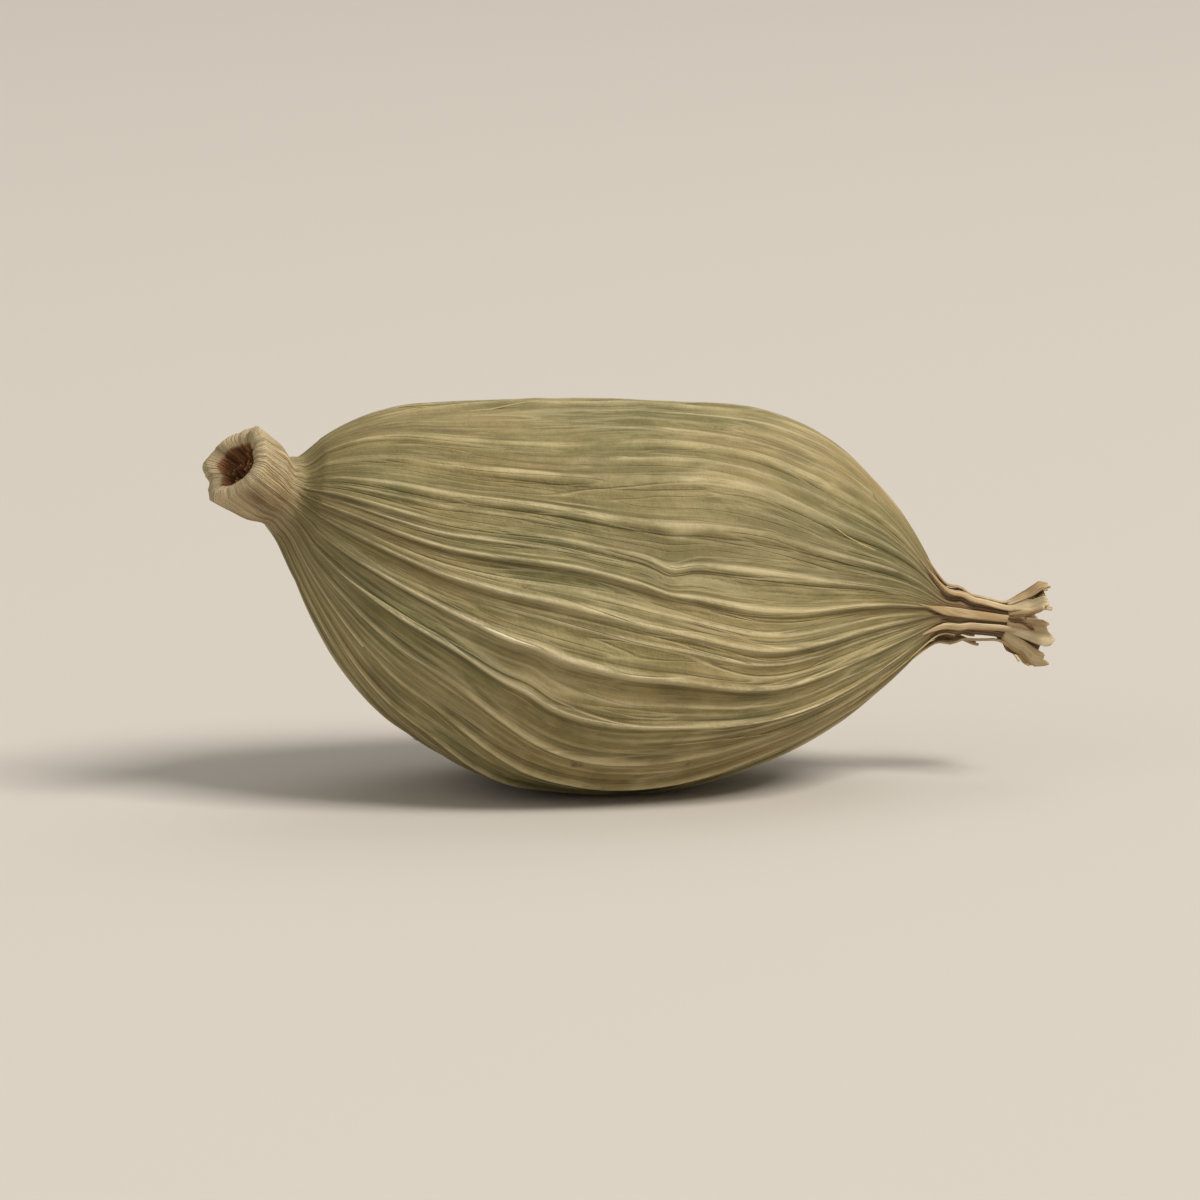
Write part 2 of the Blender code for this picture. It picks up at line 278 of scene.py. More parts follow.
def pod_form():
    """Every point of the skin as a grid of rings by columns, with the masks that its finish reads."""
    along, radius, wall = ring_stations()
    column = np.arange(COLUMNS)[None, :] / COLUMNS_PER_RIB
    turn = FULL_TURN * column / RIB_COUNT + 0 * along
    share = along / HALF

    # Where each point stands round the pod, as its rib wanders.
    drift = RIB_TWIST * share
    for around, length, start, size in RIB_WAVES:
        drift = drift + size * np.sin(around * turn + length * share + start)
    spacing = sum(size * np.sin(around * turn + start) for around, start, size in RIB_SPACING)
    rounded = NOMINAL_RADIUS * np.cos(turn), NOMINAL_RADIUS * np.sin(turn)
    unrolled = np.stack([*rounded, along + 0 * turn], -1)
    astray = CREST_WAVER * waver(unrolled, *CREST_WAVES) * FULL_TURN / RIB_COUNT
    for place, round_pod, ribs_aside in KINKS:
        off_round = turned(turn - math.radians(round_pod)) * radius / KINK_WIDTH
        off_along = (share - place) * HALF / KINK_LENGTH
        astray = astray + ribs_aside * bump(np.hypot(off_along, off_round), 1) * FULL_TURN / RIB_COUNT
    angle = turn + spacing + astray + drift * smooth(DRIFT_ENDS - np.abs(share))

    # Corners of the husk, and the squarish and lobed stubs.
    body = np.sqrt(np.clip(1 - share**2, 0, 1))
    beyond = smooth((np.abs(share) - 1) / STUB_EASE)
    stalkwards = np.where(share < 0, beyond, 0)
    beakwards = np.where(share < 0, 0, beyond)
    corners = 1 + CORNER_SWELL * np.cos(CHAMBERS * (angle - TOP_ANGLE)) * body
    corners = corners + STALK_SQUARENESS * np.cos(STALK_SIDES * angle + STALK_TURN) * stalkwards
    corners = corners + BEAK_LOBE_SIZE * np.cos(BEAK_LOBES * angle + BEAK_TURN) * beakwards

    # Ribs, with minor ones between them.
    nearest = np.round(column)
    index = nearest.astype(int) % RIB_COUNT
    off_crest = column - nearest
    crest = (1 - np.abs(np.sin(math.pi * off_crest))) ** RIB_SHARPNESS
    breathing = 1 + RIB_BREATHING * np.sin(RIB_BREATHS * share + rib_phase[index])
    broken = 1 + CREST_BREAK * waver(unrolled, *CREST_BREAK_WAVES)
    calm = 1 - CALM_SHARE * bump(turned(angle - CALM_ANGLE), CALM_WIDTH)
    strength = RIB_HIGHEST * np.tanh(rib_strength[index] * breathing * broken * calm / RIB_HIGHEST)
    room = np.minimum(1, radius / (RIB_FULL_FROM * HUSK_WIDTH / 2))
    line = bump(off_crest, CREST_LINE_WIDTH) * strength
    gap = np.floor(column).astype(int) % RIB_COUNT
    shown = np.clip(MINOR_RIB_SUDDEN * waver(unrolled, *MINOR_RIB_WAVES) + MINOR_RIB_OFTEN, 0, 1)
    off_minor = np.abs(column - np.floor(column) - minor_place[gap])
    minor = bump(off_minor, MINOR_RIB_WIDTH) * shown
    relief = (RIB_HEIGHT * strength * crest + CREST_LINE_HEIGHT * line + MINOR_RIB_HEIGHT * minor) * room

    # Furrows between the corners, the flat spot where the ribs fade, and a swelling over each seed.
    side = FULL_TURN / CHAMBERS
    furrow_off = radius * turned(angle - TOP_ANGLE - side / 2, side)
    furrow = FURROW_DEPTH * bump(furrow_off, FURROW_WIDTH) * smooth(FURROW_START + (1 + share) / 2)
    spot_around = turned(angle + TOP_ANGLE) / SPOT_FADE_ANGLE
    spot_off = np.hypot(spot_around, (along - SPOT_ALONG) / SPOT_FADE_LENGTH)
    fade = smooth((spot_off - SPOT_BARE) / (1 - SPOT_BARE))
    swelling = sum(
        swell * bump(np.hypot(radius * turned(angle - seed_angle), along - seed_along), SEED_WIDTH)
        for seed_angle, seed_along, swell in seeds
    )

    # Fine relief of the husk and of the stubs.
    scale = np.minimum(1, radius / FINE_FULL_FROM)
    streaks = waver(unrolled, *STREAK_WAVES)
    wrinkles = waver(unrolled, *WRINKLE_WAVES) * (WRINKLE_ON_RIB + (1 - WRINKLE_ON_RIB) * (1 - crest))
    dents = waver(unrolled, *DENT_WAVES)
    fine = STREAK_HEIGHT * streaks + WRINKLE_HEIGHT * wrinkles + DENT_DEPTH * dents * body
    on_wall = np.minimum(1, wall / RIM_RIBS)
    lumps = STUB_LUMP_HEIGHT * waver(unrolled, *STUB_LUMP_WAVES)
    fibres = (STUB_FIBRE_HEIGHT * waver(unrolled, *STUB_FIBRE_WAVES) + lumps) * beyond * on_wall

    carved = relief * wall - furrow * body
    reach = radius * corners + carved * fade + swelling * body + fine * scale * fade + fibres
    ragged = RAGGED_DEPTH * (waver(unrolled, *RAGGED_WAVES) - RAGGED_MOSTLY_BACK) * near_rim(along)
    place = along + torn_back(angle, along) + np.copysign(ragged, along)

    # Masks, with the pair of ribs that is paler than the rest.
    bright_round = radius * turned(angle - BRIGHT_ROUND) / BRIGHT_WIDTH
    bright = bump(np.hypot((along - BRIGHT_ALONG * HALF) / BRIGHT_LENGTH, bright_round), 1)
    beyond_rim = np.abs(along) - HALF - np.where(along < 0, STALK_LENGTH, BEAK_LENGTH)
    inside = smooth((1 - radius / np.where(along < 0, STALK_HOLLOW, BEAK_HOLLOW)) * PITH_EDGE + 1)
    masks = {
        # The furrow mask is used only to paint shade darker in the furrows.
        "furrow": furrow / FURROW_DEPTH * fade,
        "rib": crest * np.clip(strength, 0, RIB_FULLEST) / RIB_FULLEST * fade,
        "vein off": np.abs(off_crest),
        "vein strength": strength * (1 + BRIGHT_MORE * bright) * fade,
        "bright": bright,
        "small vein off": off_minor,
        "small vein strength": shown * fade,
        "stalk": smooth((-share - STALK_COLOUR_FROM) / STALK_COLOUR_OVER),
        "beak": smooth((share - BEAK_COLOUR_FROM) / BEAK_COLOUR_OVER),
        "rim": bump(beyond_rim, RIM_PALE),
        "hollow": inside * (1 - on_wall),
        "end": smooth((np.abs(share) - END_COLOUR_FROM) / END_COLOUR_OVER),
    }
    masks = {name: mask + 0 * turn for name, mask in masks.items()}
    return section_points(along, place, reach, angle), masks, unrolled


def rest_transform():
    """Tips the pod on to its resting side and puts the middle of the flat spot at the origin."""
    return (
        Matrix.Translation((0, 0, SPOT_BELOW))
        @ Matrix.Rotation(REST_TILT, 4, "Y")
        @ Matrix.Translation((-SPOT_ALONG, 0, 0))
    )


def laid_down(points):
    """Points of the pod's own frame brought to where it rests, with nothing below the table."""
    turn, shift = rest_transform().to_3x3(), rest_transform().translation
    laid = points @ np.array(turn).T + np.array(shift)
    return np.concatenate([laid[..., :2], np.maximum(laid[..., 2:], 0)], -1)


def pod_place(along, radius, angle):
    """Points at a radius and an angle round the pod's centre line, where it rests."""
    along, radius, angle = np.broadcast_arrays(along, radius, angle)
    return laid_down(section_points(along, along, radius, angle))


def carry_grain(mesh, grain):
    """Stores on each point where it stands in the grain, in millimetres across and along it."""
    places = mesh.attributes.new("grain", "FLOAT_VECTOR", "POINT")
    places.data.foreach_set("vector", grain.astype(np.float32).ravel())


def pod_skin(grid, masks, unrolled):
    """The dried skin as one closed mesh that lies on its flat spot."""
    rings, columns = grid.shape[:2]
    laid = grid.reshape(-1, 3)
    middles = np.stack([laid[:columns].mean(0), laid[-columns:].mean(0)])
    vertices = np.concatenate([laid, middles])
    first = np.arange(rings - 1)[:, None] * columns
    here, after = np.arange(columns)[None, :], (np.arange(columns)[None, :] + 1) % columns
    corners = [first + here, first + columns + here, first + columns + after, first + after]
    quads = np.stack(corners, -1).reshape(-1, 4)
    last = (rings - 1) * columns
    near_fan = np.stack([here[0], after[0], np.full(columns, len(laid))], 1)
    far_fan = np.stack([last + after[0], last + here[0], np.full(columns, len(laid) + 1)], 1)
    mesh = bpy.data.meshes.new("pod_skin")
    mesh.from_pydata(vertices.tolist(), [], quads.tolist() + near_fan.tolist() + far_fan.tolist())
    mesh.validate()
    for name, mask in masks.items():
        values = np.concatenate([mask.reshape(-1), [mask[0].mean(), mask[-1].mean()]]).astype(np.float32)
        mesh.attributes.new(name, "FLOAT", "POINT").data.foreach_set("value", values)
    grain = np.concatenate([unrolled.reshape(-1, 3), unrolled[[0, -1], 0]]) / MM + GRAIN_START
    carry_grain(mesh, grain)
    mesh.shade_smooth()
    skin = bpy.data.objects.new("pod_skin", mesh)
    bpy.context.scene.collection.objects.link(skin)
    return skin


def srgb(red, green, blue):
    """A colour given in screen values of 0 to 255, as the shader's linear values."""
    linear = [((c / 255 + 0.055) / 1.055) ** 2.4 if c > 10 else c / 255 / 12.92 for c in (red, green, blue)]
    return (*linear, 1)


def feed(tree, socket, value):
    """Sets an input to a value, or links it from an output."""
    if isinstance(value, bpy.types.NodeSocket):
        tree.links.new(value, socket)
    else:
        socket.default_value = value


def add(tree, kind, **values):
    """A node whose inputs are fed by name."""
    node = tree.nodes.new(kind)
    for name, value in values.items():
        feed(tree, node.inputs[name], value)
    return node


def maths(tree, operation, first, second=0.5):
    """The result of a Math node."""
    node = tree.nodes.new("ShaderNodeMath")
    node.operation = operation
    for socket, value in zip(node.inputs, (first, second)):
        feed(tree, socket, value)
    return node.outputs[0]


MIX_SHARE, MIX_NEAR, MIX_FAR, MIX_RESULT = 0, 6, 7, 2


def mixed(tree, share, near, far):
    """A mix of two colours, through the colour sockets of a Mix node."""
    node = tree.nodes.new("ShaderNodeMix")
    node.data_type = "RGBA"
    for socket, value in ((MIX_SHARE, share), (MIX_NEAR, near), (MIX_FAR, far)):
        feed(tree, node.inputs[socket], value)
    return node.outputs[MIX_RESULT]


def ranged(tree, value, low, high, to_low=0.0, to_high=1.0):
    """A value brought from one range to another, and held inside it."""
    node = add(tree, "ShaderNodeMapRange", Value=value)
    for socket, number in zip(node.inputs[1:5], (low, high, to_low, to_high)):
        socket.default_value = number
    node.interpolation_type = "SMOOTHSTEP"
    return node.outputs[0]


def attribute(tree, name):
    """An attribute of the mesh: its number, or its vector."""
    node = tree.nodes.new("ShaderNodeAttribute")
    node.attribute_name = name
    return node.outputs["Vector"] if name == "grain" else node.outputs["Fac"]


FINE_FIBRES_CLOSER, FINE_FIBRES_SHOWN = 2.7, 0.6
FIBRE_RAISED, GRAIN_RAISED = 0.7, (1.0, 1.0, 0.7, 0.8)


def plant_grain_group():
    """Shared effect: fibres, streaks, mottle, wrinkles and flecks of dried plant skin, along its grain."""
    group = bpy.data.node_groups.new("Plant grain", "ShaderNodeTree")
    face = group.interface
    face.new_socket("Grain", in_out="INPUT", socket_type="NodeSocketVector")
    face.new_socket("Fibres per mm", in_out="INPUT", socket_type="NodeSocketFloat").default_value = 2.4
    for name in ("Fibre", "Streak", "Blotch", "Mottle", "Fleck", "Height"):
        face.new_socket(name, in_out="OUTPUT", socket_type="NodeSocketFloat")
    given = group.nodes.new("NodeGroupInput").outputs
    made = group.nodes.new("NodeGroupOutput").inputs

    def drawn_out(lengthways):
        """The grain's place, with its patterns drawn out along the pod."""
        stretch = group.nodes.new("ShaderNodeVectorMath")
        stretch.operation = "MULTIPLY"
        group.links.new(given["Grain"], stretch.inputs[0])
        stretch.inputs[1].default_value = (1.0, 1.0, lengthways)
        return stretch.outputs[0]

    def pattern(place, scale, detail, roughness=0.55, bend=0.0):
        """A noise pattern's value."""
        noise_node = add(group, "ShaderNodeTexNoise", Vector=place, Scale=scale, Detail=detail)
        feed(group, noise_node.inputs["Roughness"], roughness)
        feed(group, noise_node.inputs["Distortion"], bend)
        return noise_node.outputs["Fac"]

    def thin_lines(value, width):
        """1 where a pattern passes its middle value, as a network of thin lines."""
        off = maths(group, "ABSOLUTE", maths(group, "SUBTRACT", value, 0.5))
        return ranged(group, off, 0.0, width, 1.0, 0.0)

    long_place = drawn_out(0.07)
    coarse = thin_lines(pattern(long_place, given["Fibres per mm"], 1.0), 0.030)
    finer = maths(group, "MULTIPLY", given["Fibres per mm"], FINE_FIBRES_CLOSER)
    fine = thin_lines(pattern(long_place, finer, 1.0), 0.055)
    fibre = maths(group, "MAXIMUM", coarse, maths(group, "MULTIPLY", fine, FINE_FIBRES_SHOWN))
    streak = pattern(drawn_out(0.06), 7.0, 4.0, 0.6)
    wrinkle = pattern(drawn_out(1.5), 1.6, 1.5, 0.5, 0.4)
    grit = pattern(given["Grain"], 11.0, 3.0, 0.65)
    mottle = pattern(drawn_out(0.45), 2.6, 4.0, 0.62)
    group.links.new(fibre, made["Fibre"])
    group.links.new(streak, made["Streak"])
    group.links.new(pattern(drawn_out(0.5), 0.42, 4.0, 0.6), made["Blotch"])
    group.links.new(mottle, made["Mottle"])
    specks = add(group, "ShaderNodeTexVoronoi", Vector=drawn_out(0.6), Scale=1.5, Randomness=1.0)
    chosen = add(group, "ShaderNodeSeparateColor", Color=specks.outputs["Color"])
    large = ranged(group, chosen.outputs["Red"], 0.55, 1.0, 0.0, 0.15)
    uneven = maths(group, "ADD", specks.outputs["Distance"], maths(group, "MULTIPLY", grit, 0.30))
    speck = ranged(group, maths(group, "SUBTRACT", uneven, large), 0.08, 0.15, 1.0, 0.0)
    group.links.new(maths(group, "MULTIPLY", speck, maths(group, "GREATER_THAN", large, 0.01)), made["Fleck"])
    height = maths(group, "MULTIPLY", fibre, FIBRE_RAISED)
    for value, share in zip((streak, wrinkle, grit, mottle), GRAIN_RAISED):
        height = maths(group, "ADD", height, maths(group, "MULTIPLY", value, share))
    group.links.new(height, made["Height"])
    return group


plant_grain = plant_grain_group()

# The darkest colour is painted shade, laid in the grooves beside the rib crests.
HUSK_PAINTED_SHADE = srgb(70, 62, 34)
HUSK_VALLEY = srgb(88, 80, 46)
HUSK_TAWNY = srgb(150, 122, 74)
HUSK_GREEN = srgb(119, 114, 67)
HUSK_OLIVE = srgb(146, 129, 81)
HUSK_STRAW = srgb(190, 171, 119)
HUSK_PALE = srgb(208, 193, 150)
HUSK_BRIGHT = srgb(236, 222, 182)
HUSK_BROWN = srgb(98, 74, 44)
STALK_TAN = srgb(176, 149, 106)
STALK_PALE = srgb(210, 190, 148)
STALK_BROWN = srgb(132, 98, 62)
BEAK_BROWN = srgb(124, 88, 56)
BEAK_TAN = srgb(170, 140, 98)
BEAK_PALE = srgb(210, 192, 154)
PITH_BROWN = srgb(178, 126, 80)
PITH_DARK = srgb(122, 82, 50)

# Layers laid one over the other: what each follows, where that starts and is full, its colour and strength.
HUSK_LAYERS = (
    ("Mottle", (0.46, 0.70), HUSK_STRAW, 0.45),
    ("Mottle", (0.50, 0.32), HUSK_VALLEY, 0.45),
    ("Streak", (0.46, 0.70), HUSK_STRAW, 0.55),
    # Darker between the ribs: partly the valleys' own darker green, partly painted shade of the valleys between
    # the raised ribs.
    ("rib", (0.30, 0.0), HUSK_VALLEY, 0.28),
    ("Blotch", (0.56, 0.68), HUSK_TAWNY, 0.40),
)
STALK_LAYERS = (
    ("Blotch", (0.52, 0.66), STALK_BROWN, 0.6),
    ("Streak", (0.50, 0.34), STALK_BROWN, 0.5),
)

# Lines along the ribs, in shares of a rib's spacing from its crest: where each is full and where it ends.
VEIN_LINE, SMALL_VEIN_LINE, SMALL_VEIN_SHOWN = (0.02, 0.11), (0.01, 0.09), 0.85
# The groove beside each crest is sunk in the bump, and also painted darker in colour as shade.
GROOVE_OFF, GROOVE_LINE = 0.17, (0.02, 0.07)
VEIN_SHOWN, VEIN_BREAKS = (0.10, 0.95), (0.34, 0.60, 0.40, 1.0)
GROOVE_DEPTH = 0.8
HUSK_FIBRES_PER_MM = 2.4
HUSK_ROUGHNESS, HUSK_GLOSS = (0.3, 0.7, 0.78, 0.56), 0.4


def grain_effect(tree, fibres_per_mm):
    """The shared effect in a material, set to this many fibres to the millimetre: its outputs."""
    effect = tree.nodes.new("ShaderNodeGroup")
    effect.node_tree = plant_grain
    tree.links.new(attribute(tree, "grain"), effect.inputs["Grain"])
    effect.inputs["Fibres per mm"].default_value = fibres_per_mm
    return effect.outputs


def skin_finish():
    """Dried husk: olive green between straw-coloured ribs, tan at both stubs, with a low satin sheen. Shade is
    painted darker between the ribs, in the grooves beside their crests and in the furrows.
    """
    material = bpy.data.materials.new("Dried green husk")
    material.use_nodes = True
    tree = material.node_tree
    shader = tree.nodes["Principled BSDF"]
    grain = grain_effect(tree, HUSK_FIBRES_PER_MM)

    def laid_over(ground, mask, colour, share):
        """A colour laid over the ground where a mask is 1, at a share of its strength."""
        return mixed(tree, maths(tree, "MULTIPLY", mask, share), ground, colour)

    def layered(ground, layers):
        """Layers that follow the grain or one of the skin's masks, laid over the ground in order."""
        for follows, limits, colour, share in layers:
            source = grain[follows] if follows in grain else attribute(tree, follows)
            ground = laid_over(ground, ranged(tree, source, *limits), colour, share)
        return ground

    off = attribute(tree, "vein off")
    strength = ranged(tree, attribute(tree, "vein strength"), *VEIN_SHOWN)
    # A narrow groove beside each crest: its relief is real, and its dark colour is painted shade.
    beside = maths(tree, "ABSOLUTE", maths(tree, "SUBTRACT", off, GROOVE_OFF))
    groove_and_painted_shade = maths(tree, "MULTIPLY", ranged(tree, beside, *GROOVE_LINE, 1.0, 0.0), strength)
    vein = maths(tree, "MULTIPLY", ranged(tree, off, *VEIN_LINE, 1.0, 0.0), strength)
    small = ranged(tree, attribute(tree, "small vein off"), *SMALL_VEIN_LINE, 1.0, 0.0)
    small = maths(tree, "MULTIPLY", small, attribute(tree, "small vein strength"))
    vein = maths(tree, "MAXIMUM", vein, maths(tree, "MULTIPLY", small, SMALL_VEIN_SHOWN))
    broken_vein = maths(tree, "MULTIPLY", vein, ranged(tree, grain["Mottle"], *VEIN_BREAKS))
    bright_vein = maths(tree, "MULTIPLY", vein, attribute(tree, "bright"))

    ground = mixed(tree, ranged(tree, grain["Blotch"], 0.40, 0.60), HUSK_GREEN, HUSK_OLIVE)
    ground = layered(ground, HUSK_LAYERS)
    for mask, colour, share in (
        # Painted shade in the grooves beside the crests.
        (groove_and_painted_shade, HUSK_PAINTED_SHADE, 0.45),
        (grain["Fibre"], HUSK_PALE, 0.30),
        (broken_vein, HUSK_PALE, 0.85),
        (bright_vein, HUSK_BRIGHT, 0.80),
        # Painted shade in the furrows between the corners.
        (attribute(tree, "furrow"), HUSK_VALLEY, 0.42),
        (grain["Fleck"], HUSK_BROWN, 0.70),
        (attribute(tree, "end"), HUSK_OLIVE, 0.35),
    ):
        ground = laid_over(ground, mask, colour, share)

    stalk = mixed(tree, ranged(tree, grain["Mottle"], 0.36, 0.62), STALK_TAN, STALK_PALE)
    stalk = laid_over(layered(stalk, STALK_LAYERS), attribute(tree, "rim"), STALK_PALE, 0.8)
    ground = mixed(tree, attribute(tree, "stalk"), ground, stalk)
    beak = mixed(tree, ranged(tree, grain["Streak"], 0.44, 0.60), BEAK_BROWN, BEAK_TAN)
    ground = mixed(tree, attribute(tree, "beak"), ground, beak)
    pith = mixed(tree, ranged(tree, grain["Mottle"], 0.36, 0.64), PITH_DARK, PITH_BROWN)
    colour = mixed(tree, attribute(tree, "hollow"), ground, pith)
    tree.links.new(colour, shader.inputs["Base Color"])

    tree.links.new(ranged(tree, grain["Streak"], *HUSK_ROUGHNESS), shader.inputs["Roughness"])
    shader.inputs["Specular IOR Level"].default_value = HUSK_GLOSS
    height = maths(tree, "ADD", grain["Height"], vein)
    height = maths(tree, "SUBTRACT", height, maths(tree, "MULTIPLY", groove_and_painted_shade, GROOVE_DEPTH))
    relief = add(tree, "ShaderNodeBump", Strength=0.8, Distance=0.00004, Height=height)
    tree.links.new(relief.outputs["Normal"], shader.inputs["Normal"])
    return material


form, masks, unrolled = pod_form()
laid_form = laid_down(form)
skin = pod_skin(laid_form, masks, unrolled)
skin.data.materials.append(skin_finish())
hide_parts("cardamom_pod")
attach(skin, "root")

# Strands of the flower tube.
# The withered tube has split into dry strips that stand a little off its brown core, from the tip of the husk
# to the collar. Each strip still grows from the husk at its root.

STRAND_COUNT = 11
STRAND_FROM, STRAND_TO = HALF - 0.00085, HALF + BEAK_LENGTH
STRAND_SUNK = 0.00004
STRAND_WIDTH, STRAND_THICKNESS = 0.00015, 0.000045
STRAND_BULGE = 0.00010
STRAND_SWAY = math.radians(13)
STRAND_REACHES, STRAND_BROKEN = (0.62, 0.96, 1.0, 1.03, 1.06), 0.9
STRAND_ASTRAY, STRAND_BULGES = 0.3, (0.2, 1.3)
STRAND_LOOSE, STRAND_LOOSE_FROM = 1.6, 0.6
STRAND_WIDTHS, STRAND_ROOT, STRAND_TIP = (0.6, 1.25), 0.1, 0.6
STRAND_SUNK_OVER, STRAND_WIDENS_OVER = 0.3, 0.35
STRAND_STEPS = 26
STRIP_SIDES = 8


def strip(path, outwards, widths, thickness):
    """Points, faces and grain of one thin strip with a flattened round section, closed at both ends."""
    ahead = np.gradient(path, axis=0)
    side = np.cross(ahead, outwards)
    side /= np.linalg.norm(side, axis=1, keepdims=True)
    out = np.cross(side, ahead)
    out /= np.linalg.norm(out, axis=1, keepdims=True)
    turn = np.arange(STRIP_SIDES) * FULL_TURN / STRIP_SIDES
    across = widths[:, None] / 2 * np.cos(turn)
    lifted = np.minimum(thickness, widths)[:, None] / 2 * np.sin(turn)
    points = path[:, None] + side[:, None] * across[..., None] + out[:, None] * lifted[..., None]
    travelled = np.concatenate([[0], np.cumsum(np.linalg.norm(np.diff(path, axis=0), axis=1))])
    grain = np.stack([across, lifted, travelled[:, None] + 0 * across], -1)
    first = np.arange(len(path) - 1)[:, None] * STRIP_SIDES
    here, after = np.arange(STRIP_SIDES)[None, :], (np.arange(STRIP_SIDES)[None, :] + 1) % STRIP_SIDES
    further = first + STRIP_SIDES
    quads = np.stack([first + here, first + after, further + after, further + here], -1)
    last = (len(path) - 1) * STRIP_SIDES
    caps = [list(range(STRIP_SIDES))[::-1], list(range(last, last + STRIP_SIDES))]
    return points.reshape(-1, 3), quads.reshape(-1, 4).tolist() + caps, grain.reshape(-1, 3)


def bundle(name, parts, material):
    """Several thin strips or sheets as one piece of the pod."""
    points, faces, grains = [], [], []
    for index, (part_points, part_faces, part_grain) in enumerate(parts):
        start = sum(len(earlier) for earlier in points)
        faces += [[start + corner for corner in face] for face in part_faces]
        points.append(part_points)
        grains.append(part_grain / MM + np.array(GRAIN_START) * (index + 1))
    mesh = bpy.data.meshes.new(name)
    above_table = np.maximum(np.concatenate(points), (-math.inf, -math.inf, 0))
    mesh.from_pydata(above_table.tolist(), [], faces)
    mesh.validate()
    carry_grain(mesh, np.concatenate(grains))
    mesh.materials.append(material)
    mesh.shade_smooth()
    piece = bpy.data.objects.new(name, mesh)
    bpy.context.scene.collection.objects.link(piece)
    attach(piece, "root")
    return piece


TISSUE_FIBRES_PER_MM, TISSUE_FIBRES_SHOWN = 5.0, 0.35
TISSUE_ROUGHNESS, TISSUE_GLOSS = 0.7, 0.35


def dry_tissue(name, dark, pale):
    """Dry papery plant tissue: two colours in streaks along it, with fine fibres."""
    material = bpy.data.materials.new(name)
    material.use_nodes = True
    tree = material.node_tree
    shader = tree.nodes["Principled BSDF"]
    grain = grain_effect(tree, TISSUE_FIBRES_PER_MM)
    colour = mixed(tree, ranged(tree, grain["Streak"], 0.40, 0.62), dark, pale)
    colour = mixed(tree, maths(tree, "MULTIPLY", grain["Fibre"], TISSUE_FIBRES_SHOWN), colour, pale)
    tree.links.new(colour, shader.inputs["Base Color"])
    shader.inputs["Roughness"].default_value = TISSUE_ROUGHNESS
    shader.inputs["Specular IOR Level"].default_value = TISSUE_GLOSS
    relief = add(tree, "ShaderNodeBump", Strength=0.6, Distance=0.00002, Height=grain["Height"])
    tree.links.new(relief.outputs["Normal"], shader.inputs["Normal"])
    return material


def tube_strands():
    """Strands that root in the husk's tip, bulge and sway. Some broke off early and stand loose."""
    strands = []
    for number in range(STRAND_COUNT):
        share = np.linspace(0, 1, STRAND_STEPS)
        reach = draw.choice(STRAND_REACHES)
        along = STRAND_FROM + (STRAND_TO - STRAND_FROM) * reach * share
        start = FULL_TURN * (number + draw.uniform(-STRAND_ASTRAY, STRAND_ASTRAY)) / STRAND_COUNT
        bend, lean = draw.uniform(-1, 1), draw.uniform(-1, 1)
        sway = STRAND_SWAY * (bend * np.sin(math.pi * share) + lean * share)
        bulge = STRAND_BULGE * draw.uniform(*STRAND_BULGES) * np.sin(math.pi * share) ** 2
        loosened = smooth((share - STRAND_LOOSE_FROM) / (1 - STRAND_LOOSE_FROM)) * (reach < STRAND_BROKEN)
        sunk = STRAND_SUNK * (1 - smooth(share / STRAND_SUNK_OVER))
        radius = outer_radius(along) + bulge + STRAND_BULGE * STRAND_LOOSE * loosened - sunk
        path = pod_place(along, radius, start + sway)
        centre = pod_place(along, 0, 0)
        rooted = STRAND_ROOT + (1 - STRAND_ROOT) * smooth(share / STRAND_WIDENS_OVER)
        tapered = 1 - (1 - STRAND_TIP) * share**3
        widths = STRAND_WIDTH * draw.uniform(*STRAND_WIDTHS) * rooted * tapered
        strands.append(strip(path, path - centre, widths, STRAND_THICKNESS))
    return strands


paper = dry_tissue("Dry flower tube", BEAK_TAN, BEAK_PALE)
bundle("flower_tube_strands", tube_strands(), paper)

# Torn collar.
# The end of the flower tube, as thin as paper, that tore into ragged flaps and dried bent outwards.

FLAP_TURNS = (
    (-8, 34), (30, 78), (72, 118), (121, 156), (158, 205), (202, 248), (252, 281), (284, 330), (326, 349)
)
FLAP_FROM, FLAP_REACH, FLAP_REACHES = 0.62, 0.00062, (0.85, 1.1)
FLAP_FLARE, FLAP_FLARES, FLAP_THICKNESS = 0.00010, (0.3, 1.4), 0.000035
FLAP_RAGGED, FLAP_TORN, FLAP_FRAYED = 0.45, 0.35, 0.12
TORN_WAVES, FRAYED_WAVES = 5, 17
FLAP_NARROWING, FLAP_CRIMP, FLAP_CRIMPS = 0.15, 0.00003, 3
FLAP_ROWS, FLAP_COLUMNS = 14, 16


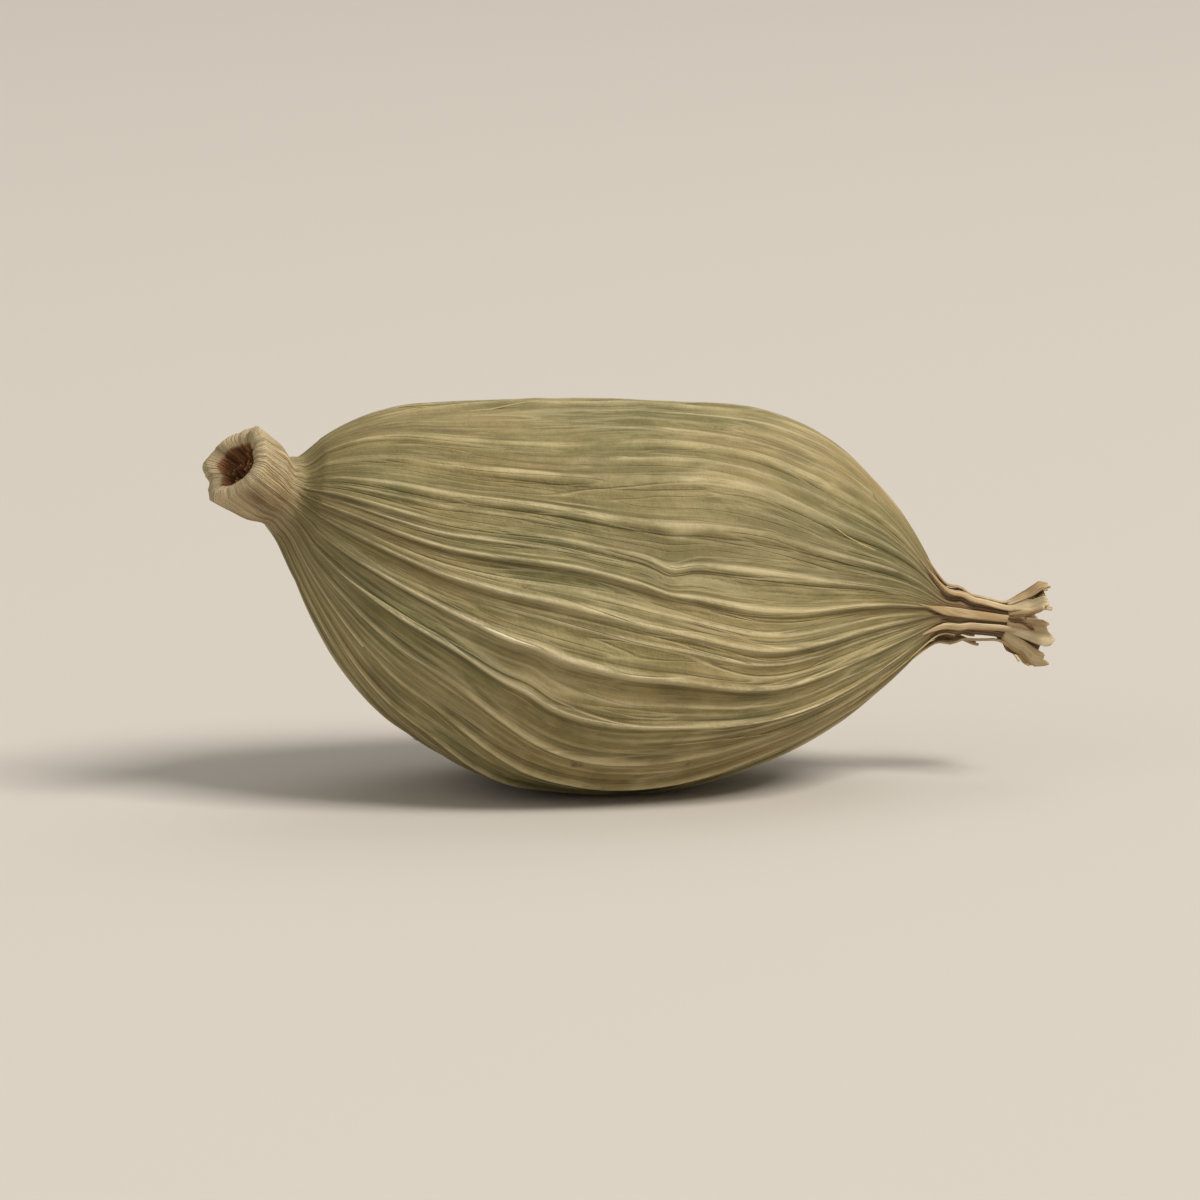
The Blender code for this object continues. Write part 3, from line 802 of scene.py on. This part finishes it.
def flap(turn_from, turn_to):
    """One ragged flap of the collar, as a thin closed sheet."""
    row = np.linspace(0, 1, FLAP_ROWS)[:, None]
    column = np.linspace(0, 1, FLAP_COLUMNS)[None, :]
    start = draw.uniform(0, 90)
    torn = np.array([noise.noise((start + TORN_WAVES * c, 0.5, 0.5)) for c in column[0]])[None, :]
    frayed = np.array([noise.noise((start + FRAYED_WAVES * c, 7.5, 0.5)) for c in column[0]])[None, :]
    reach = FLAP_REACH * draw.uniform(*FLAP_REACHES) * (1 - FLAP_RAGGED * np.abs(2 * column - 1) ** 3)
    reach = reach * (1 + FLAP_TORN * torn + FLAP_FRAYED * frayed)
    along = HALF + BEAK_LENGTH * FLAP_FROM + reach * row
    across = 0.5 + (column - 0.5) * (1 - FLAP_NARROWING * row)
    angle = np.radians(turn_from + (turn_to - turn_from) * across)
    crimp = FLAP_CRIMP * np.sin(math.pi * FLAP_CRIMPS * column) * row
    curl = FLAP_FLARE * draw.uniform(*FLAP_FLARES) * row**2 + crimp
    outer = outer_radius(along) + curl + FLAP_THICKNESS
    layers = [pod_place(along, outer - layer * FLAP_THICKNESS, angle) for layer in (0, 1)]
    points = np.concatenate([layer.reshape(-1, 3) for layer in layers])
    count = FLAP_ROWS * FLAP_COLUMNS
    index = np.arange(count).reshape(FLAP_ROWS, FLAP_COLUMNS)
    corner = index[:-1, :-1].ravel()
    top = np.stack([corner, corner + 1, corner + FLAP_COLUMNS + 1, corner + FLAP_COLUMNS], -1)
    faces = top.tolist() + (top[:, ::-1] + count).tolist()
    border = np.concatenate([index[0], index[1:, -1], index[-1, -2::-1], index[-2:0:-1, 0]])
    for near, far in zip(border, np.roll(border, -1)):
        faces.append([far, near, near + count, far + count])
    arc = BEAK_HOLLOW * angle + 0 * row
    grain = np.stack([arc, 0 * arc, along + 0 * arc], -1).reshape(-1, 3)
    return points, faces, np.concatenate([grain, grain])


bundle("torn_collar", [flap(*turns) for turns in FLAP_TURNS], paper)

# Broken fibres in the stalk.
# Where the stalk snapped off, its woody threads stand in the cup round the brown pith. They grew with the
# stalk, and broke at uneven lengths.

THREAD_COUNT = 44
THREAD_RING, THREAD_SPREAD, THREAD_ASTRAY = (0.00005, 0.00033), 0.00003, 0.4
THREAD_ROOT, THREAD_TOPS = 1.15, (0.45, 0.9)
THREAD_WIDTH, THREAD_WIDTHS, THREAD_TIP = 0.00006, (0.6, 1.2), 0.65
THREAD_FLATNESS, THREAD_TWIST = 0.8, 0.15
THREAD_STEPS = 8


def stalk_threads():
    """Short rods that rise from the floor of the cup."""
    rim = -HALF - STALK_LENGTH
    threads = []
    for number in range(THREAD_COUNT):
        share = np.linspace(0, 1, THREAD_STEPS)
        angle = FULL_TURN * (number + draw.uniform(-THREAD_ASTRAY, THREAD_ASTRAY)) / THREAD_COUNT
        radius = draw.uniform(*THREAD_RING) + draw.uniform(-THREAD_SPREAD, THREAD_SPREAD) * share
        floor = rim + STALK_HOLLOW_DEPTH * THREAD_ROOT
        top = rim + STALK_HOLLOW_DEPTH * draw.uniform(*THREAD_TOPS)
        path = pod_place(floor + (top - floor) * share, radius, angle + THREAD_TWIST * share)
        outwards = path - pod_place(rim, 0, 0)
        widths = THREAD_WIDTH * draw.uniform(*THREAD_WIDTHS) * (1 - (1 - THREAD_TIP) * share**2)
        threads.append(strip(path, outwards, widths, THREAD_WIDTH * THREAD_FLATNESS))
    return threads


bundle("stalk_threads", stalk_threads(), dry_tissue("Broken stalk wood", PITH_DARK, PITH_BROWN))

# Loose fibres on the husk.
# A few hair-thin fibres have come away from the ribs, and stay rooted in the skin at one end.

FIBRE_COUNT = 18
FIBRE_WIDTH, FIBRE_THICKNESS = 0.000034, 0.000024
FIBRE_WIDTHS, FIBRE_TIP = (0.7, 1.2), 0.3
FIBRE_LENGTHS, FIBRE_STARTS = (0.0007, 0.0022), (-0.9, 0.9)
FIBRE_OFF_RIB, FIBRE_ASTRAY = (0, 0, 0.3, 0.6), 0.25
FIBRE_LIFT, FIBRE_LIFTS, FIBRE_LIFTS_FROM = 0.00013, (0.1, 1.0), 0.35
FIBRE_STEPS = 18
FIBRE_SUNK = 0.00001


def skin_place(grid, rings, along, column):
    """Points of the laid skin at places along the pod and columns round it."""
    outer = slice(np.argmin(rings), np.argmax(rings) + 1)
    ring = np.interp(along, rings[outer], np.arange(outer.start, outer.stop))
    near, left = np.floor(ring).astype(int), np.floor(column).astype(int)
    ring_part, column_part = (ring - near)[:, None], (column - left)[:, None]
    left, right = left % COLUMNS, (left + 1) % COLUMNS
    before = grid[near, left] * (1 - column_part) + grid[near, right] * column_part
    after = grid[near + 1, left] * (1 - column_part) + grid[near + 1, right] * column_part
    return before * (1 - ring_part) + after * ring_part


def loose_fibres():
    """Fibres that follow the ribs' crests and lift off at their free end."""
    rings = ring_stations()[0][:, 0]
    fibres = []
    for _ in range(FIBRE_COUNT):
        share = np.linspace(0, 1, FIBRE_STEPS)
        length = draw.uniform(*FIBRE_LENGTHS) * draw.choice((-1, 1))
        start = draw.uniform(*FIBRE_STARTS) * HALF
        along = np.clip(start + length * share, -HALF, HALF)
        rib = draw.randrange(RIB_COUNT) + draw.choice(FIBRE_OFF_RIB)
        column = (rib + draw.uniform(-FIBRE_ASTRAY, FIBRE_ASTRAY) * share**2) * COLUMNS_PER_RIB
        path = skin_place(laid_form, rings, along, column)
        outwards = path - pod_place(along, 0, 0)
        outwards /= np.linalg.norm(outwards, axis=1, keepdims=True)
        free = smooth((share - FIBRE_LIFTS_FROM) / (1 - FIBRE_LIFTS_FROM))
        lift = FIBRE_LIFT * draw.uniform(*FIBRE_LIFTS) * free - FIBRE_SUNK * (1 - share)
        path = path + outwards * lift[:, None]
        widths = FIBRE_WIDTH * draw.uniform(*FIBRE_WIDTHS) * (1 - (1 - FIBRE_TIP) * share**3)
        fibres.append(strip(path, outwards, widths, FIBRE_THICKNESS))
    return fibres


bundle("loose_fibres", loose_fibres(), dry_tissue("Dry husk fibre", HUSK_OLIVE, HUSK_STRAW))

# Table under the pod.
# A plain pale surface, much larger than the pod, so that it fills the picture from every side.

TABLE_COLOUR, TABLE_ROUGHNESS = srgb(205, 199, 190), 0.75
TABLE_REACH = 1.2
TABLE_BELOW = 0.00002


def table_top():
    """One level square."""
    mesh = bpy.data.meshes.new("table_top")
    sides = ((-1, -1), (1, -1), (1, 1), (-1, 1))
    corners = [(x * TABLE_REACH, y * TABLE_REACH, -TABLE_BELOW) for x, y in sides]
    mesh.from_pydata(corners, [], [(0, 1, 2, 3)])
    material = bpy.data.materials.new("Pale table")
    material.use_nodes = True
    tree = material.node_tree
    shader = tree.nodes["Principled BSDF"]
    shader.inputs["Base Color"].default_value = TABLE_COLOUR
    shader.inputs["Roughness"].default_value = TABLE_ROUGHNESS
    mesh.materials.append(material)
    top = bpy.data.objects.new("table_top", mesh)
    bpy.context.scene.collection.objects.link(top)
    return top


table_top()

# Studio light.
# A large soft lamp at the upper right in front, weak ones at the left and behind, and a pale room all round.
# Angles are in degrees, lengths in metres and power in watts.

LAMP_HEIGHT = 0.003
ROOM_COLOUR, ROOM_LIGHT = srgb(226, 220, 212), 0.45

lamps = bpy.data.collections.new("lamps")
bpy.context.scene.collection.children.link(lamps)


def soft_lamp(name, azimuth, elevation, distance, size, power, colour):
    """A square lamp that faces the middle of the pod."""
    light = bpy.data.lights.new(name, "AREA")
    light.shape, light.size, light.energy, light.color = "SQUARE", size, power, colour
    lamp = bpy.data.objects.new(name, light)
    turn, rise = math.radians(azimuth), math.radians(elevation)
    back = Vector((math.sin(turn) * math.cos(rise), -math.cos(turn) * math.cos(rise), math.sin(rise)))
    lamp.location = Vector((0, 0, LAMP_HEIGHT)) + back * distance
    lamp.rotation_euler = back.to_track_quat("Z", "Y").to_euler()
    lamps.objects.link(lamp)


soft_lamp("key", azimuth=48, elevation=50, distance=0.9, size=0.36, power=7.6, colour=(1.0, 0.965, 0.91))
soft_lamp("fill", azimuth=-60, elevation=30, distance=1.0, size=0.7, power=1.0, colour=(0.93, 0.96, 1.0))
soft_lamp("rim", azimuth=150, elevation=50, distance=0.9, size=0.6, power=1.2, colour=(1.0, 0.98, 0.95))
room = bpy.data.worlds.new("pale room")
room.use_nodes = True
room_light = room.node_tree.nodes["Background"].inputs
room_light["Color"].default_value = ROOM_COLOUR
room_light["Strength"].default_value = ROOM_LIGHT
bpy.context.scene.world = room
bpy.context.scene.view_settings.view_transform = "Standard"

# Camera.
# It looks at the pod from a little above the table, as the photograph does, with the stalk end a little
# nearer. It stands far off with a long lens, so that there is little perspective.

CAMERA_AZIMUTH, CAMERA_ELEVATION = math.radians(-11), math.radians(8.5)
CAMERA_LENS, CAMERA_SENSOR = 200, 36
CAMERA_NEAREST, CAMERA_FARTHEST = 0.005, 4.0
PICTURE_WIDTH = 0.0196
CAMERA_TARGET = Vector((0.0, 0.0, 0.0030))

lens = bpy.data.cameras.new("camera")
lens.lens, lens.sensor_width = CAMERA_LENS, CAMERA_SENSOR
camera = bpy.data.objects.new("camera", lens)
camera_back = Vector((
    math.sin(CAMERA_AZIMUTH) * math.cos(CAMERA_ELEVATION),
    -math.cos(CAMERA_AZIMUTH) * math.cos(CAMERA_ELEVATION),
    math.sin(CAMERA_ELEVATION),
))
camera.location = CAMERA_TARGET + camera_back * (PICTURE_WIDTH * CAMERA_LENS / CAMERA_SENSOR)
camera.rotation_euler = camera_back.to_track_quat("Z", "Y").to_euler()
lens.clip_start, lens.clip_end = CAMERA_NEAREST, CAMERA_FARTHEST
bpy.context.scene.collection.objects.link(camera)
bpy.context.scene.camera = camera
